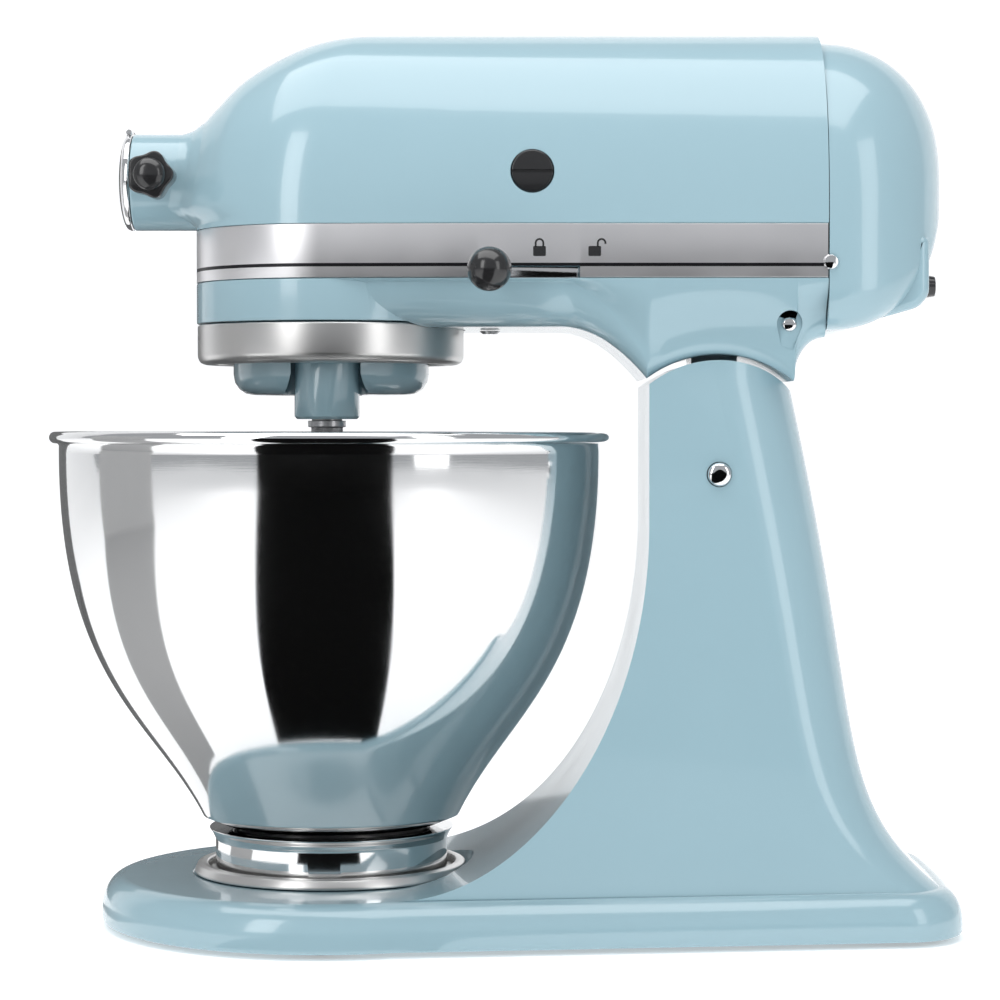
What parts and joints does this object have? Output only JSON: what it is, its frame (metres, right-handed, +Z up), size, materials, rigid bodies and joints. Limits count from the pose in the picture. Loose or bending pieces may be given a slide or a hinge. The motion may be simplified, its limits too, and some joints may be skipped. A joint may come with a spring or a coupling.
{
  "type": "stand mixer",
  "caption": "Tilt-head stand mixer with a planetary beater, a steel bowl that twists into its base, a front attachment hub and a full gear train inside.",
  "frame": {"origin": "on the floor, midway between the bowl's front edge and the back of the base, in the mixer's plane of symmetry", "axes": "+Z up, the front of the mixer towards -X, its left side (speed lever) towards +Y"},
  "size_m": [0.3588, 0.223, 0.3526],
  "materials": {
    "enamel": "gloss powder-coat enamel, pale aqua",
    "bowl_steel": "polished stainless steel",
    "brushed_steel": "brushed stainless steel",
    "band_aluminium": "satin aluminium with a dark stripe",
    "chrome": "bright chrome plate",
    "machined_steel": "machined steel",
    "cast_zinc": "bare casting",
    "worm_bronze": "machined bronze",
    "copper": "copper, varnished on the windings",
    "black_plastic": "gloss black",
    "nylon": "moulded nylon",
    "board_green": "circuit board",
    "rubber": "matt rubber",
    "carbon": "pressed carbon"
  },
  "bodies": {
    "base": {"pedestal": "enamel", "foot_front": "rubber", "foot_middle_left": "rubber", "foot_middle_right": "rubber", "foot_rear_left": "rubber", "foot_rear_right": "rubber", "hinge_pin": "chrome", "bowl_clamp_plate": "brushed_steel"},
    "bowl_turn": {"bowl": "bowl_steel", "bowl_foot": "bowl_steel"},
    "head": {"upper_housing": "enamel", "lower_housing": "enamel", "rear_cover": "enamel", "trim_band": "band_aluminium", "drip_ring": "brushed_steel", "ring_gear": "machined_steel", "motor_field": "machined_steel", "field_winding_front": "copper", "field_winding_rear": "copper", "bearing_front": "worm_bronze", "bearing_rear": "worm_bronze", "bearing_bracket_front": "cast_zinc", "bearing_bracket_rear": "cast_zinc", "brush_cap_left": "black_plastic", "brush_cap_right": "black_plastic", "brush_holder_left": "nylon", "brush_holder_right": "nylon", "carbon_brush_left": "carbon", "carbon_brush_right": "carbon", "hub_bush": "worm_bronze", "control_board": "board_green", "cord_gland": "black_plastic", "rear_cover_screw": "machined_steel", "band_screw_left": "chrome", "band_screw_right": "chrome", "belly_screw": "machined_steel"},
    "planetary": {"planetary_casting": "enamel", "centre_shaft": "machined_steel", "centre_gear": "machined_steel", "centre_bevel": "machined_steel"},
    "beater": {"beater_shaft": "machined_steel", "beater_pin": "machined_steel", "agitator_gear": "machined_steel", "flat_beater": "cast_zinc"},
    "wheel": {"pinion_shaft": "machined_steel", "drive_pinion": "machined_steel", "worm_wheel": "worm_bronze"},
    "armature": {"armature_shaft": "machined_steel", "commutator": "copper", "armature_core": "machined_steel", "cooling_fan": "black_plastic"},
    "hub_drive": {"hub_drive_shaft": "machined_steel", "hub_bevel": "machined_steel"},
    "hub_flap": {"hub_cover": "chrome"},
    "hub_clamp": {"hub_knob": "black_plastic", "hub_knob_stud": "machined_steel"},
    "lock_lever": {"lock_slider": "chrome", "lock_knob": "black_plastic"},
    "speed_lever": {"speed_slider": "chrome", "speed_knob": "black_plastic"}
  },
  "joints": [
    {"name": "head_tilt", "type": "hinge", "parent": "base", "child": "head", "pos_m": [0.0844, 0, 0.1794], "axis": [0, 1, 0], "range_deg": [0, 33]},
    {"name": "planetary_spin", "type": "hinge", "parent": "head", "child": "planetary", "pos_m": [-0.0675, 0, 0.295], "axis": [0, 0, 1], "continuous": true},
    {"name": "beater_spin", "type": "hinge", "parent": "planetary", "child": "beater", "pos_m": [-0.0675, -0.027, 0.19], "axis": [0, 0, 1], "continuous": true},
    {"name": "wheel_spin", "type": "hinge", "parent": "head", "child": "wheel", "pos_m": [-0.03436, 0.0258, 0.295], "axis": [0, 0, 1], "continuous": true},
    {"name": "armature_spin", "type": "hinge", "parent": "head", "child": "armature", "pos_m": [0.064, 0, 0.295], "axis": [1, 0, 0], "continuous": true},
    {"name": "hub_spin", "type": "hinge", "parent": "head", "child": "hub_drive", "pos_m": [-0.1156, 0, 0.295], "axis": [1, 0, 0], "continuous": true},
    {"name": "hub_cover_hinge", "type": "hinge", "parent": "head", "child": "hub_flap", "pos_m": [-0.1473, 0, 0.3146], "axis": [0, 1, 0], "range_deg": [0, 100]},
    {"name": "hub_knob_turn", "type": "hinge", "parent": "head", "child": "hub_clamp", "pos_m": [-0.135, -0.03, 0.295], "axis": [0, 1, 0], "continuous": true},
    {"name": "lock_slide", "type": "slide", "parent": "head", "child": "lock_lever", "axis": [1, 0, 0], "range_m": [0, 0.022]},
    {"name": "speed_slide", "type": "slide", "parent": "head", "child": "speed_lever", "axis": [1, 0, 0], "range_m": [0, 0.05]},
    {"name": "bowl_twist", "type": "hinge", "parent": "base", "child": "bowl_turn", "pos_m": [-0.0675, 0, 0.02], "axis": [0, 0, 1], "range_deg": [0, 30]}
  ],
  "couplings": [
    {"joint": "beater_spin", "follows": "planetary_spin", "ratio": -3},
    {"joint": "wheel_spin", "follows": "planetary_spin", "ratio": -3},
    {"joint": "armature_spin", "follows": "planetary_spin", "ratio": 18},
    {"joint": "hub_spin", "follows": "planetary_spin", "ratio": -2.25}
  ]
}
